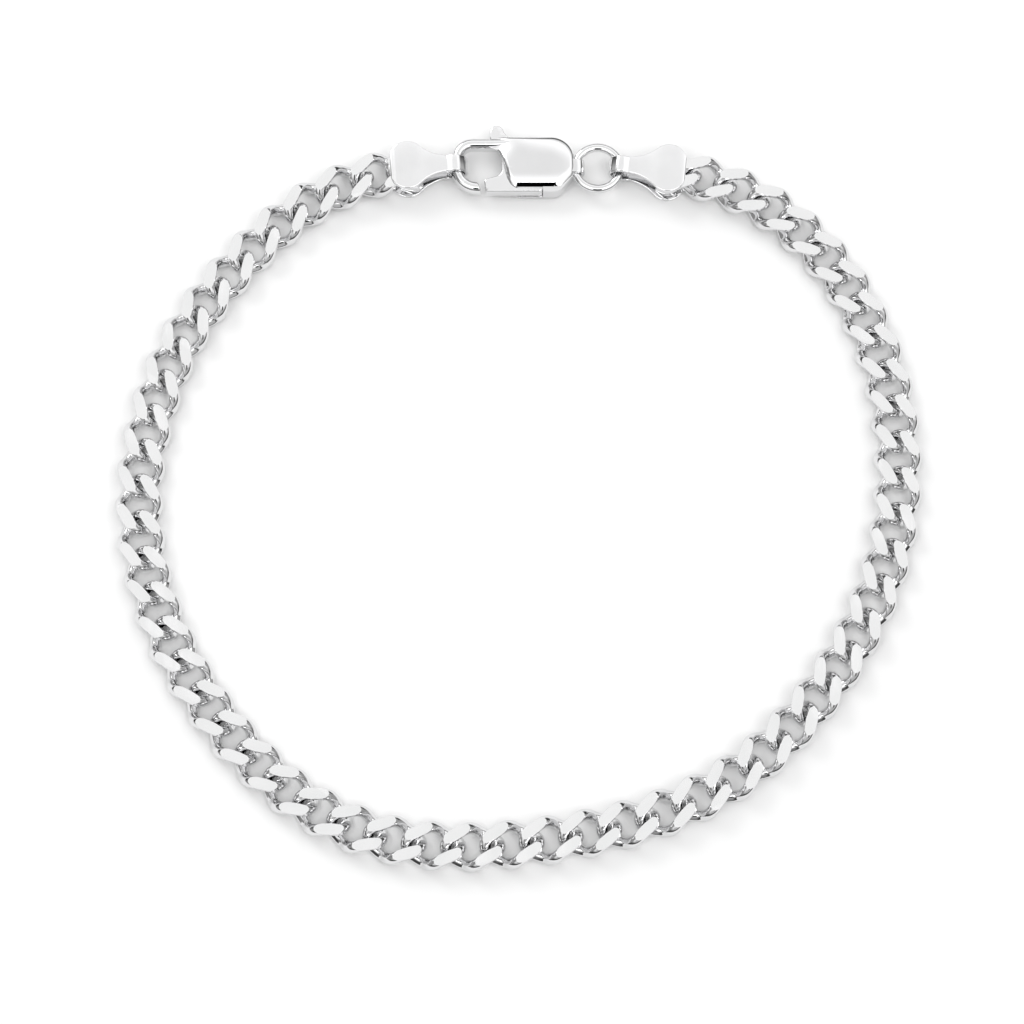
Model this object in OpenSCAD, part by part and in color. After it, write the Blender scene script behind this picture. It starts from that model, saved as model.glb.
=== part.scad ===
// Curb link bracelet: a closed loop of flat ground links between two folded end caps, a jump ring
// and a lever clasp, lying on a table.
// Millimetres. X runs to the right, Y away from the viewer and Z up. The origin is the centre of
// the whole bracelet on the table.

/* [Chain] */
// Width of the whole bracelet as it lies
loop_w = 64.6; // [60:0.1:70]
// Number of links, with the half link held in each end cap
link_count = 56; // [50:2:60]
// Thickness of the link wire
wire_d = 0.95; // [0.8:0.01:1]
// Width of a link across the chain
link_w = 3.9; // [3.6:0.05:4.1]
// Smallest gap between one link's wire and the next
link_gap = 0.1; // [0.1:0.01:0.14]
// Depth ground off the wire on the upper and the lower side
grind_depth = 0.3; // [0.2:0.01:0.35]
// Radius of a link's round ends, to the middle of its wire
end_bend_r = 0.75; // [0.65:0.05:0.85]
// Radius of the bend halfway along each side of a link, to the middle of its wire
side_bend_r = 0.9; // [0.7:0.05:1.1]

/* [End caps] */
// Length of a cap from its wide end to the outside of its fold
cap_l = 6.4; // [6:0.1:7.5]
// Width of the wide end
cap_w = 4.2; // [4:0.05:4.8]
// Corner radius of the wide end
cap_corner_r = 1.45; // [1:0.05:1.6]
// Width of the folded strip
cap_neck_w = 1.4; // [1.1:0.05:1.5]
// Length of the straight strip before the fold
cap_neck_l = 0.4; // [0.2:0.05:0.8]
// Wall of the folded sheet
cap_wall = 0.28; // [0.2:0.01:0.35]
// Gap between a half link and the sheet above or below it
seat_gap = 0.06; // [0.04:0.01:0.1]
// Angle of the left cap, falling away from the clasp
left_cap_turn = 3.5; // [0:0.5:8]
// Angle of the right cap, falling away from the ring
right_cap_turn = 6; // [0:0.5:8]

/* [Jump ring] */
// Outer diameter of the ring
ring_d = 4.4; // [4.2:0.05:4.8]
// Thickness of the ring's wire
ring_wire_d = 0.72; // [0.6:0.01:0.8]

/* [Clasp body] */
// Length from the hook's outside to the end of the body
clasp_l = 10.1; // [9.6:0.1:11]
// Width of the clasp
clasp_w = 4.85; // [4.7:0.05:5.2]
// Thickness of the body
clasp_t = 2.1; // [1.9:0.05:2.4]
// Width of the hook's band
hook_w = 1; // [0.8:0.05:1]
// Thickness of the hook's band
hook_t = 1.3; // [1:0.05:1.3]
// Length of the opening in the hook
hook_gap_l = 3.1; // [2.9:0.05:3.3]
// Radius of the hook's two outer corners
hook_corner_r = 1.75; // [1.5:0.05:1.75]
// Rounding of the body's long edges
edge_r = 0.38; // [0.2:0.02:0.4]
// Radius of the body's big corner beside the ring
shoulder_r = 1.95; // [1.6:0.05:2.1]
// Width of the loop that holds the ring
tail_w = 1.2; // [1:0.05:1.4]
// Wall of the loop that holds the ring
tail_wall = 0.28; // [0.2:0.02:0.34]
// Gap round the ring's wire
ring_gap = 0.06; // [0.04:0.01:0.1]

/* [Clasp lever] */
// Thickness of the lever
lever_t = 1; // [0.8:0.05:1.1]
// Gap between the lever and the wall above or below it
lever_gap = 0.08; // [0.05:0.01:0.1]
// Gap between the hook's tip and the gate
gate_gap = 0.12; // [0.08:0.02:0.2]
// Width of the thumb tab
tab_w = 1.28; // [1.1:0.02:1.5]
// Height of the thumb tab above the body
tab_h = 1.12; // [0.9:0.02:1.4]
// Diameter of the pivot pin
pin_d = 0.6; // [0.5:0.02:0.7]
// Running gap round the pivot pin, on the radius
pin_gap = 0.04; // [0.02:0.01:0.06]
// How far the lever turns to open, in degrees
lever_open = 20; // [14:1:20]

/* [Hidden] */
$fn = 64;

// Guide points that the chain follows between its caps, anticlockwise from the left cap, chosen by hand
// for a bracelet that lies 64.6 wide.
CHAIN_ROUTE = [
  [-17.6, 24.8], [-23.2, 19.2], [-27.8, 12.8], [-30.2, 5], [-30.8, -2.8], [-29, -10.6], [-25.2, -17.6],
  [-20.2, -23.6], [-13.6, -28.4], [-5.6, -29.8], [2, -29], [9.4, -27.6], [16.4, -24.6], [22, -19.4],
  [26.4, -13.2], [29.6, -6], [30.6, 2], [29.8, 10], [26.6, 18.4], [21, 24.2]
];
// How far the chain turns away from each cap's own line, in degrees
chain_turn = 8;
loop_scale = loop_w / 64.6;
// Where the middle of the clasp lies
clasp_x = -0.6 * loop_scale;
clasp_y = 27.6 * loop_scale;
// How far the ring's side of the clasp sits below its middle line
tail_drop = 0.12;
// How deep the first joint of the chain sits in the left cap, and the last one in the right cap
left_joint_depth = 0.6;
right_joint_depth = -0.35;
// How far the legs of the half links reach past their middle
left_leg = 0.1;
right_leg = 0.9;
// Joints over which the chain comes down from the caps to the table
ramp_joints = 5;
// Least gap between a cap's fold and what runs through it
fold_gap = 0.05;
// Height of the chain's underside over the table, so that no tilted link dips below it
chain_gap = 0.01;
// Sections round a link, and sides of its wire
LINK_SECTIONS = 20;
WIRE_SIDES = 6;

// Link: the wire swings up and down twice on its way round, so that neighbours cross over. A higher
// share keeps it up, or down, for longer.
link_rise = (wire_d + link_gap) * 0.57;
RISE_HOLD = 0.4;
link_t = 2 * (link_rise + wire_d / 2 - grind_depth);
loop_b = (link_w - wire_d) / 2;

// Caps and what passes through their folds share one middle height.
cap_t = link_t + 2 * seat_gap + 2 * cap_wall;
mid_z = cap_t / 2;
fold_r = cap_t / 2 - cap_wall;
fold_x = cap_l - cap_t / 2;
chain_lift = mid_z - link_t / 2 - chain_gap;

// Clasp, from its own middle
hook_x = -clasp_l / 2;
gap_end_x = hook_x + hook_w + hook_gap_l;
body_end_x = clasp_l / 2;
half_w = clasp_w / 2;
hook_path_r = hook_corner_r - hook_w / 2;
slot_t = lever_t + 2 * lever_gap;
gate_x = gap_end_x - 1.4;
tip_x = gate_x - gate_gap;
// Eye of the lever, and the room between it and the walls near it
eye_r = 0.8;
eye_room = 0.12;
pivot_x = gap_end_x + clasp_l / 4;
pivot_y = -half_w + eye_r + eye_room;
slot_end_x = pivot_x + eye_r + eye_room;
lever_foot_y = -half_w + 0.06;
tab_x = gap_end_x - 0.3;
tab_foot_x = tab_x + tab_w / 2 + 0.4;
// Right wall of the slot beside the tab, clear of the tab's foot when the lever is open
slot_top_x = pivot_x + (tab_foot_x - pivot_x) * cos(lever_open)
  + (half_w - pivot_y) * sin(lever_open) + tab_w / 2;

// Ring: its near side passes through the loop at the end of the clasp.
ring_r = (ring_d - ring_wire_d) / 2;
ring_x = body_end_x - 0.25 + ring_d / 2;
ring_bore_r = ring_wire_d / 2 + ring_gap;
tail_t = 2 * (ring_bore_r + tail_wall);
tail_end_x = ring_x - sqrt(pow(ring_r - ring_bore_r, 2) - pow(tail_w / 2, 2)) + tail_wall;

// Fold centres of the two caps: each fold clears the band or the wire that runs through it.
neck_half = cap_neck_w / 2;
left_fold_reach = fold_r * cos(left_cap_turn) - neck_half * sin(left_cap_turn);
left_fold = [clasp_x + hook_x + hook_w + fold_gap - left_fold_reach, clasp_y];
right_fold_reach = fold_r * cos(right_cap_turn) - neck_half * sin(right_cap_turn);
right_corner_y = fold_r * sin(right_cap_turn) + neck_half * cos(right_cap_turn);
ring_inside_x = sqrt(pow(ring_r - ring_wire_d / 2, 2) - pow(right_corner_y, 2));
right_fold = [clasp_x + ring_x + ring_inside_x - fold_gap + right_fold_reach, clasp_y - tail_drop];

// Chain ends, on the axes of the caps
function heading(turn, side) = [side * cos(turn), -sin(turn)];
left_axis = heading(left_cap_turn, -1);
right_axis = heading(right_cap_turn, 1);
left_way = heading(left_cap_turn + chain_turn, -1);
right_way = heading(right_cap_turn + chain_turn, 1);
chain_start = left_fold + (fold_x - left_joint_depth) * left_axis;
chain_end = right_fold + (fold_x - right_joint_depth) * right_axis;
END_STEP = 2.6;
guide_points = concat(
  [chain_start - END_STEP * left_way, chain_start, chain_start + END_STEP * left_way],
  loop_scale * CHAIN_ROUTE,
  [chain_end + END_STEP * right_way, chain_end, chain_end - END_STEP * right_way]
);

// Smooth curve (a cubic B-spline) that the guide points pull into shape
CURVE_STEPS = 12;
function curve(p, q, r, s, u) =
  (pow(1 - u, 3) * p + (3 * pow(u, 3) - 6 * u * u + 4) * q
   + (1 + 3 * u + 3 * u * u - 3 * pow(u, 3)) * r + pow(u, 3) * s) / 6;
route = concat([for (i = [1 : len(guide_points) - 3], k = [0 : CURVE_STEPS - 1])
  curve(guide_points[i - 1], guide_points[i], guide_points[i + 1], guide_points[i + 2], k / CURVE_STEPS)],
  [chain_end]);
// Distance along the route at each of its points
route_s = [for (i = 0, s = 0; i < len(route); i = i + 1,
  s = i < len(route) ? s + norm(route[i] - route[i - 1]) : s) s];
route_l = route_s[len(route) - 1];
function route_at(s) = [
  lookup(s, [for (i = [0 : len(route) - 1]) [route_s[i], route[i][0]]]),
  lookup(s, [for (i = [0 : len(route) - 1]) [route_s[i], route[i][1]]])
];

// Joints between neighbouring links: the chain is level in the caps and ramps down to the table.
link_pitch = route_l / (link_count - 2);
link_l = link_pitch + 2 * (wire_d + link_gap);
loop_a = (link_l - wire_d) / 2;

// Middle line of a link's wire from above: round ends and bent sides, joined by straight slanted runs
end_mid_x = loop_a - end_bend_r;
side_mid_y = loop_b - side_bend_r;
bend_gap = norm([end_mid_x, side_mid_y]);
slant = atan2(side_mid_y, end_mid_x) + asin((side_bend_r - end_bend_r) / bend_gap);
end_run = end_bend_r * (90 - slant) * PI / 180;
straight_run = sqrt(pow(bend_gap, 2) - pow(side_bend_r - end_bend_r, 2));
quarter_run = end_run + straight_run + side_bend_r * slant * PI / 180;
// Direction across the wire, at a distance along it from the end towards the side's middle
function across(run) = let (a = run < end_run ? run / end_bend_r * 180 / PI
    : max(90 - slant, 90 - (quarter_run - run) / side_bend_r * 180 / PI)) [cos(a), sin(a)];
function quarter_at(run) = let (n = across(run), bend_end = [end_mid_x, 0] + end_bend_r * n)
  run < end_run ? bend_end
  : run < end_run + straight_run ? bend_end + (run - end_run) * [-n[1], n[0]]
  : [0, side_mid_y] + side_bend_r * n;

function ramp(j) = let (u = max(0, 1 - j / ramp_joints)) u * u * (3 - 2 * u);
function joint_z(j) = link_t / 2 + chain_gap + chain_lift * max(ramp(j), ramp(link_count - 2 - j));
joints = [for (j = [0 : link_count - 2]) concat(route_at(j * link_pitch), [joint_z(j)])];
function flat_dir(v) = [v[0], v[1], 0];
function link_dir(i) =
  i == 0 ? flat_dir(heading(left_cap_turn + chain_turn / 2, -1))
  : i == link_count - 1 ? -flat_dir(heading(right_cap_turn + chain_turn / 2, 1))
  : (joints[i] - joints[i - 1]) / norm(joints[i] - joints[i - 1]);
function link_mid(i) =
  i == 0 ? joints[0] - link_pitch / 2 * link_dir(i)
  : i == link_count - 1 ? joints[i - 1] + link_pitch / 2 * link_dir(i)
  : (joints[i] + joints[i - 1]) / 2;

// One section of the wire: a hexagon on the round wire, its upper and lower side at the ground flats.
// Its place t counts quarters of the way round, anticlockwise from the right end.
function section(t) = let (
    k = (floor(t) + 4) % 4,
    f = t - floor(t),
    run = quarter_run * (k % 2 == 0 ? f : 1 - f),
    u = (k % 2 == 0 ? -1 : 1) * sin(180 * f),
    sx = k == 0 || k == 3 ? 1 : -1,
    sy = k < 2 ? 1 : -1,
    at = quarter_at(run),
    n = across(run),
    mid = [sx * at[0], sy * at[1], link_rise * u * (1 + RISE_HOLD * (1 - u * u))],
    out = [sx * n[0], sy * n[1], 0],
    r = wire_d / 2,
    up = min(r * cos(30), link_t / 2 - mid[2]),
    down = min(r * cos(30), link_t / 2 + mid[2]),
    up_half = sqrt(r * r - up * up),
    down_half = sqrt(r * r - down * down))
  [mid + r * out, mid + up_half * out + [0, 0, up], mid - up_half * out + [0, 0, up],
   mid - r * out, mid - down_half * out - [0, 0, down], mid + down_half * out - [0, 0, down]];

module link_wire(places, closed) {
  rings = len(places);
  strips = closed ? rings : rings - 1;
  points = [for (t = places) each section(t)];
  walls = [for (i = [0 : strips - 1], k = [0 : WIRE_SIDES - 1]) let (
      a = i * WIRE_SIDES + k,
      b = i * WIRE_SIDES + (k + 1) % WIRE_SIDES,
      c = (i + 1) % rings * WIRE_SIDES + k,
      d = (i + 1) % rings * WIRE_SIDES + (k + 1) % WIRE_SIDES)
    each [[a, d, c], [a, b, d]]];
  last = (rings - 1) * WIRE_SIDES;
  ends = closed ? [] : [[for (k = [WIRE_SIDES - 1 : -1 : 0]) k],
                        [for (k = [0 : WIRE_SIDES - 1]) last + k]];
  polyhedron(points, concat(walls, ends));
}

module whole_link() {
  link_wire([for (i = [0 : LINK_SECTIONS - 1]) i * 4 / LINK_SECTIONS], true);
}

// Half link round its right end (0) or its left one (2), with legs that reach past the middle
module half_link(end, leg) {
  sweep = 1 + leg / quarter_run;
  half = LINK_SECTIONS / 2;
  link_wire([for (i = [0 : half]) end - sweep + i * 2 * sweep / half], false);
}

module on_chain(i) {
  along = link_dir(i);
  side = [-along[1], along[0], 0] / norm([along[0], along[1]]);
  up = cross(along, side);
  mid = link_mid(i);
  multmatrix([
    [along[0], side[0], up[0], mid[0]],
    [along[1], side[1], up[1], mid[1]],
    [along[2], side[2], up[2], mid[2]],
    [0, 0, 0, 1]
  ]) children();
}

module chain_links(first, last) {
  for (i = [first : last]) on_chain(i) {
    if (i == 0) half_link(0, left_leg);
    else if (i == link_count - 1) half_link(2, right_leg);
    else whole_link();
  }
}

module chain_left() {
  color("silver") chain_links(0, link_count / 2 - 1);
}

module chain_right() {
  color("lightgray") chain_links(link_count / 2, link_count - 1);
}

// Outline of a cap's sheet, from its wide end at 0: round corners, then a hollow curve to the neck.
module cap_outline() {
  corner_y = cap_w / 2 - cap_corner_r;
  neck_x = fold_x - cap_neck_l;
  run = neck_x - cap_corner_r;
  step = neck_half - corner_y;
  hollow_r = (run * run + step * step - cap_corner_r * cap_corner_r) / 2 / (cap_corner_r - step);
  translate([0, -corner_y]) square([cap_corner_r, 2 * corner_y]);
  translate([neck_x - 0.01, -neck_half]) square([cap_neck_l + 0.01, cap_neck_w]);
  for (side = [-1, 1]) {
    translate([cap_corner_r, side * corner_y]) circle(cap_corner_r);
    difference() {
      polygon([[cap_corner_r - 0.01, -0.01 * side], [cap_corner_r - 0.01, side * corner_y],
               [cap_corner_r, side * corner_y], [neck_x, side * (neck_half + hollow_r)],
               [neck_x, -0.01 * side]]);
      translate([neck_x, side * (neck_half + hollow_r)]) circle(hollow_r, $fn = 180);
    }
  }
}

// Folded cap with its fold's centre at the origin and its wide end towards -X
module end_cap() {
  translate([-fold_x, 0, 0]) {
    linear_extrude(cap_wall) cap_outline();
    translate([0, 0, cap_t - cap_wall]) linear_extrude(cap_wall) cap_outline();
  }
  translate([0, neck_half, mid_z]) rotate([90, 0, 0]) linear_extrude(cap_neck_w) difference() {
    circle(mid_z);
    circle(fold_r);
    translate([-cap_t, -cap_t]) square([cap_t, 2 * cap_t]);
  }
}

module end_cap_left() {
  color("gainsboro") translate(left_fold) rotate(left_cap_turn) end_cap();
}

module end_cap_right() {
  color("gainsboro") translate(right_fold) rotate(180 - right_cap_turn) end_cap();
}

module on_clasp() {
  translate([clasp_x, clasp_y, 0]) children();
}

module ring_torus(wire_r) {
  translate([ring_x, -tail_drop, mid_z]) rotate_extrude() translate([ring_r, 0]) circle(wire_r);
}

module jump_ring() {
  color("silver") on_clasp() ring_torus(ring_wire_d / 2);
}

// Cross-section of the hook's band, centred
module band_section() {
  r = hook_w * 0.49;
  for (side = [-1, 1]) translate([0, side * (hook_t / 2 - r)]) circle(r);
  square([2 * r, hook_t - 2 * r], center = true);
}

// Bent band of the hook, from the body round to the tip
module hook() {
  top_y = half_w - hook_w / 2;
  left_x = hook_x + hook_w / 2;
  corner_x = hook_x + hook_corner_r;
  translate([corner_x, top_y, mid_z]) rotate([90, 0, 90])
    linear_extrude(gap_end_x - corner_x) band_section();
  translate([corner_x, half_w - hook_corner_r, mid_z]) rotate(90)
    rotate_extrude(angle = 90) translate([hook_path_r, 0]) band_section();
  translate([left_x, half_w - hook_corner_r, mid_z]) rotate([90, 0, 0])
    linear_extrude(clasp_w - 2 * hook_corner_r) band_section();
  translate([corner_x, hook_corner_r - half_w, mid_z]) rotate(180)
    rotate_extrude(angle = 90) translate([hook_path_r, 0]) band_section();
  translate([corner_x, -top_y, mid_z]) rotate([90, 0, 90])
    linear_extrude(tip_x - corner_x) band_section();
}

// Outline of the raised body: a slack S beside the hook's opening, a big shoulder and a cut corner
module body_outline() {
  foot_r = 1;
  foot_x = body_end_x - 1.7;
  polygon([
    [gap_end_x - 1.3, half_w - hook_w], [gap_end_x, half_w - hook_w], [gap_end_x + 0.3, 1],
    [gap_end_x + 0.38, -0.2], [gap_end_x + 0.54, -1.1], [gap_end_x + 0.8, 0.55 - half_w],
    [gap_end_x + 1.25, -half_w], [foot_x, -half_w],
    [foot_x + foot_r * cos(40), foot_r * (1 - sin(40)) - half_w],
    [body_end_x, -0.9], [body_end_x, half_w - shoulder_r], [body_end_x - shoulder_r, half_w],
    [gap_end_x - 1.3, half_w]
  ]);
  translate([body_end_x - shoulder_r, half_w - shoulder_r]) circle(shoulder_r);
  translate([foot_x, foot_r - half_w]) circle(foot_r);
}

// Rounded bar along X that the body's long edges follow
module edge_profile() {
  for (y = [edge_r - half_w, half_w - edge_r], z = [edge_r, clasp_t - edge_r])
    translate([y, z]) circle(edge_r);
  translate([-half_w, edge_r]) square([clasp_w, clasp_t - 2 * edge_r]);
  translate([edge_r - half_w, 0]) square([clasp_w - 2 * edge_r, clasp_t]);
}

// Side view of the body: it thins towards the hook and is rounded at the ring's end.
module side_profile() {
  thin = 0.16;
  start_x = gap_end_x - 1.3;
  end_r = 0.6;
  polygon([[start_x, thin], [start_x + 0.9, 0], [body_end_x - end_r, 0], [body_end_x, end_r],
           [body_end_x, clasp_t - end_r], [body_end_x - end_r, clasp_t],
           [start_x + 0.9, clasp_t], [start_x, clasp_t - thin]]);
}

// Room for the lever: open below for the gate and above for the tab
module lever_slot() {
  translate([0, 0, (clasp_t - slot_t) / 2]) linear_extrude(slot_t) polygon([
    [tab_x - 0.75, half_w + 1], [tab_x - 0.75, half_w - 0.38], [gap_end_x - 0.15, half_w - hook_w - 0.14],
    [gap_end_x - 0.6, 1], [gap_end_x - 0.6, -half_w - 1], [slot_end_x, -half_w - 1],
    [slot_end_x, half_w - 0.9], [slot_top_x, half_w - 0.5], [slot_top_x, half_w + 1]
  ]);
}

module clasp_body() {
  color("whitesmoke") on_clasp() difference() {
    union() {
      hook();
      intersection() {
        linear_extrude(clasp_t) body_outline();
        translate([-clasp_l, 0, 0]) rotate([90, 0, 90]) linear_extrude(2 * clasp_l) edge_profile();
        translate([0, clasp_w, 0]) rotate([90, 0, 0]) linear_extrude(2 * clasp_w) side_profile();
      }
      translate([body_end_x - 1, -tail_drop - tail_w / 2, mid_z - tail_t / 2])
        cube([tail_end_x - body_end_x + 1, tail_w, tail_t]);
    }
    lever_slot();
    ring_torus(ring_bore_r);
    translate([pivot_x, pivot_y, -1]) cylinder(h = clasp_t - 0.2 + 1, d = pin_d + 0.02);
  }
}

// Lever: gate, arm, eye with a square heel, and thumb tab in one flat piece
module lever_outline() {
  tab_foot_y = half_w + 0.3 * tab_h;
  translate([pivot_x, pivot_y]) circle(eye_r);
  polygon([
    [gate_x, lever_foot_y], [pivot_x + eye_r, lever_foot_y], [pivot_x + eye_r, pivot_y],
    [gap_end_x + 1.5 * hook_w, half_w / 2],
    [tab_foot_x, half_w], [tab_x + tab_w / 2, tab_foot_y],
    [tab_x - tab_w / 2, tab_foot_y], [tab_x - tab_w / 2, half_w], [gap_end_x + 0.05, 0.45 * half_w],
    [gap_end_x + 0.05, -0.23 * half_w], [gap_end_x - 0.3 * hook_w, -0.39 * half_w],
    [gate_x + 0.35 * hook_w, -0.475 * half_w], [gate_x, -0.58 * half_w]
  ]);
  translate([tab_x, half_w + tab_h - tab_w / 2]) circle(tab_w / 2);
}

module clasp_lever() {
  color("white") on_clasp() translate([0, 0, (clasp_t - lever_t) / 2]) difference() {
    linear_extrude(lever_t) lever_outline();
    translate([pivot_x, pivot_y, -1]) cylinder(h = lever_t + 2, r = pin_d / 2 + pin_gap);
  }
}

module pivot_pin() {
  color("gray") on_clasp() translate([pivot_x, pivot_y, 0]) cylinder(h = clasp_t - 0.25, d = pin_d);
}

chain_left();
chain_right();
end_cap_left();
end_cap_right();
jump_ring();
clasp_body();
clasp_lever();
pivot_pin();
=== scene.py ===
"""Curb link bracelet in polished silver, lying on a white table. The chain, caps, ring and clasp are
modelled in full over the frame's plain solids. Lengths are in millimetres until a mesh is made."""

import math

import bmesh
import bpy
import numpy as np
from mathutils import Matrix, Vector


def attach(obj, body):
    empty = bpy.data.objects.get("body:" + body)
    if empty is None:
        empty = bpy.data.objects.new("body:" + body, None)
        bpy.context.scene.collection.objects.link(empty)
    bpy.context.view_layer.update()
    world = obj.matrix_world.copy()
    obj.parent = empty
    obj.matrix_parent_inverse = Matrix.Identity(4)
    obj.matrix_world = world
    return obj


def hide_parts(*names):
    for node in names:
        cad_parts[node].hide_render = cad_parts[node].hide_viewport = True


MM = 0.001

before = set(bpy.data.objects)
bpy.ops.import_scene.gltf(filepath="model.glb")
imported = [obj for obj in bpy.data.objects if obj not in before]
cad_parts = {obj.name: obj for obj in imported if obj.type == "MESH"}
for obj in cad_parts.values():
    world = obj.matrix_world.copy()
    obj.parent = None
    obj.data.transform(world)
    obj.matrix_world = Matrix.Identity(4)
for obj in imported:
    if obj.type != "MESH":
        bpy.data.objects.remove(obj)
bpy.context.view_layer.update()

# Camera: it stands in front of the bracelet and looks down on it steeply.
CAMERA_ELEVATION = 72
CAMERA_DISTANCE = 280
CAMERA_AIM = (-0.65, -1.9, 0)
CAMERA_LENS = 123.05

# Chain
LINK_COUNT = 56
LOOP_W = 64.6
WIRE_R = 0.475
LINK_W = 3.9
LINK_GAP = 0.1
GRIND_DEPTH = 0.3
END_BEND_R = 0.75
SIDE_BEND_R = 0.9
RISE_HOLD = 0.4
FACET_DEPTH = 0.06
FACET_ANGLE = 45
FACET_GROWTH = 1.3
CHAIN_TURN = 8
CHAIN_GAP = 0.01
END_STEP = 2.6
CURVE_STEPS = 12
RAMP_JOINTS = 5
LEFT_LEG = 0.1
RIGHT_LEG = 0.9
LEFT_JOINT_DEPTH = 0.6
RIGHT_JOINT_DEPTH = -0.35
WIRE_SECTIONS = 92
WIRE_SIDES = 28
ROUTE_W = 64.6
CHAIN_ROUTE = np.array([
    (-17.6, 24.8), (-23.2, 19.2), (-27.8, 12.8), (-30.2, 5), (-30.8, -2.8), (-29, -10.6), (-25.2, -17.6),
    (-20.2, -23.6), (-13.6, -28.4), (-5.6, -29.8), (2, -29), (9.4, -27.6), (16.4, -24.6), (22, -19.4),
    (26.4, -13.2), (29.6, -6), (30.6, 2), (29.8, 10), (26.6, 18.4), (21, 24.2),
])

# End caps
CAP_L = 6.4
CAP_W = 4.2
CAP_CORNER_R = 1.45
CAP_NECK_W = 1.4
CAP_NECK_L = 0.4
CAP_WALL = 0.28
CAP_SINK = 0.16
CAP_STEPS = 150
CAP_EASE_ROUNDS = 14
SEAT_GAP = 0.06
LEFT_CAP_TURN = 3.5
RIGHT_CAP_TURN = 6
FOLD_GAP = 0.05

# Jump ring
RING_D = 4.4
RING_WIRE_D = 0.72
RING_STEPS = 128
RING_SEAM = 0.93

# Clasp
CLASP_X = -0.6
CLASP_Y = 27.6
CLASP_L = 10.1
CLASP_W = 4.85
CLASP_T = 2.1
HOOK_W = 1.0
HOOK_T = 1.3
HOOK_GAP_L = 3.1
HOOK_CORNER_R = 1.75
HOOK_SWELL = 0.2
HOOK_SQUARENESS = 0.92
HOOK_SIDES = 32
GATE_L = 1.4
GATE_GAP = 0.12
SHOULDER_R = 1.95
TAIL_W = 1.2
TAIL_DROP = 0.12
TAIL_WALL = 0.28
RING_GAP = 0.06
LEVER_T = 1.0
LEVER_GAP = 0.08
LEVER_TOP = (CLASP_T + LEVER_T) / 2
SHELL_FRONT_Y = -2.05
TIP_SLANT = 0.38
TIP_EASE = 0.16
CLASP_GRID = 0.16
LOWER_EASE = 0.4
TAB_W = 1.28
TAB_H = 1.12
EYE_R = 0.8
EYE_ROOM = 0.12
HEEL_GAP = 0.02
HEEL_EASE = 0.03
LEVER_EASE = 0.13
LEVER_GRID = 0.25
PIN_D = 0.6
PIN_TOP = 1.58
PIN_STEPS = 40

# Meshes
MERGE_DIST = 1e-4
LINK_MERGE_DIST = 0.006
SHARP_ANGLE = 35
CORNER_STEPS = 5

# Surface of the silver: noise scales are per metre, the scratch depth is in metres
HAIR_SCALE = 900
CLOUD_SCALE = 420
SCRATCH_DEPTH = 0.00002
EDGE_START = 0.53
EDGE_FULL = 0.6
EDGE_PALER = 1.08

# Light and table: levels are strengths of the white all round
TABLE_TONE = 0.84
LAMP_PLACE = (-0.34, 0.45, 0.36)
LAMP_SIZE = 0.35
LAMP_POWER = 1.3
HORIZON_LEVEL = 0.06
LOW_LEVEL = 0.95
MIDDLE_LEVEL = 1.3
HIGH_LEVEL = 3.0
AROUND_LEVEL = 1.35
OVERHEAD_LEVEL = 1.0
FRONT_LEVEL = 0.55
LEFT_LEVEL = 0.3
RIGHT_LEVEL = 0.4
CARD_LEVEL = 0.0

# Heights and places that follow from them
link_rise = (2 * WIRE_R + LINK_GAP) * 0.57
link_t = 2 * (link_rise + WIRE_R - GRIND_DEPTH)
loop_b = LINK_W / 2 - WIRE_R
cap_t = link_t + 2 * SEAT_GAP + 2 * CAP_WALL
mid_z = cap_t / 2
fold_r = cap_t / 2 - CAP_WALL
fold_x = CAP_L - cap_t / 2
half_w = CLASP_W / 2
hook_x = -CLASP_L / 2
gap_end_x = hook_x + HOOK_W + HOOK_GAP_L
body_end_x = CLASP_L / 2
ring_r = (RING_D - RING_WIRE_D) / 2
ring_x = body_end_x - 0.25 + RING_D / 2
gate_x = gap_end_x - GATE_L
pivot_x = gap_end_x + CLASP_L / 4
pivot_y = -half_w + EYE_R + EYE_ROOM
slot_end_x = pivot_x + EYE_R + EYE_ROOM


def heading(turn, side):
    """Level direction of a cap, away from the clasp: side is -1 for the left one and 1 for the right."""
    a = math.radians(turn)
    return np.array([side * math.cos(a), -math.sin(a)])


def fold_centres():
    """Where the centres of the two folds lie, each clear of what runs through it."""
    neck = CAP_NECK_W / 2
    left, right = math.radians(LEFT_CAP_TURN), math.radians(RIGHT_CAP_TURN)
    left_reach = fold_r * math.cos(left) - neck * math.sin(left)
    right_reach = fold_r * math.cos(right) - neck * math.sin(right)
    corner_y = fold_r * math.sin(right) + neck * math.cos(right)
    inside_x = math.sqrt((ring_r - RING_WIRE_D / 2) ** 2 - corner_y ** 2)
    return (
        np.array([CLASP_X + hook_x + HOOK_W + FOLD_GAP - left_reach, CLASP_Y]),
        np.array([CLASP_X + ring_x + inside_x - FOLD_GAP + right_reach, CLASP_Y - TAIL_DROP]),
    )


left_fold, right_fold = fold_centres()


def smooth_curve(points):
    """Cubic B-spline that the points pull into shape."""
    out = []
    for p, q, r, s in zip(points, points[1:], points[2:], points[3:]):
        for k in range(CURVE_STEPS):
            u = k / CURVE_STEPS
            out.append((
                (1 - u) ** 3 * p + (3 * u ** 3 - 6 * u * u + 4) * q
                + (1 + 3 * u + 3 * u * u - 3 * u ** 3) * r + u ** 3 * s
            ) / 6)
    return out


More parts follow.
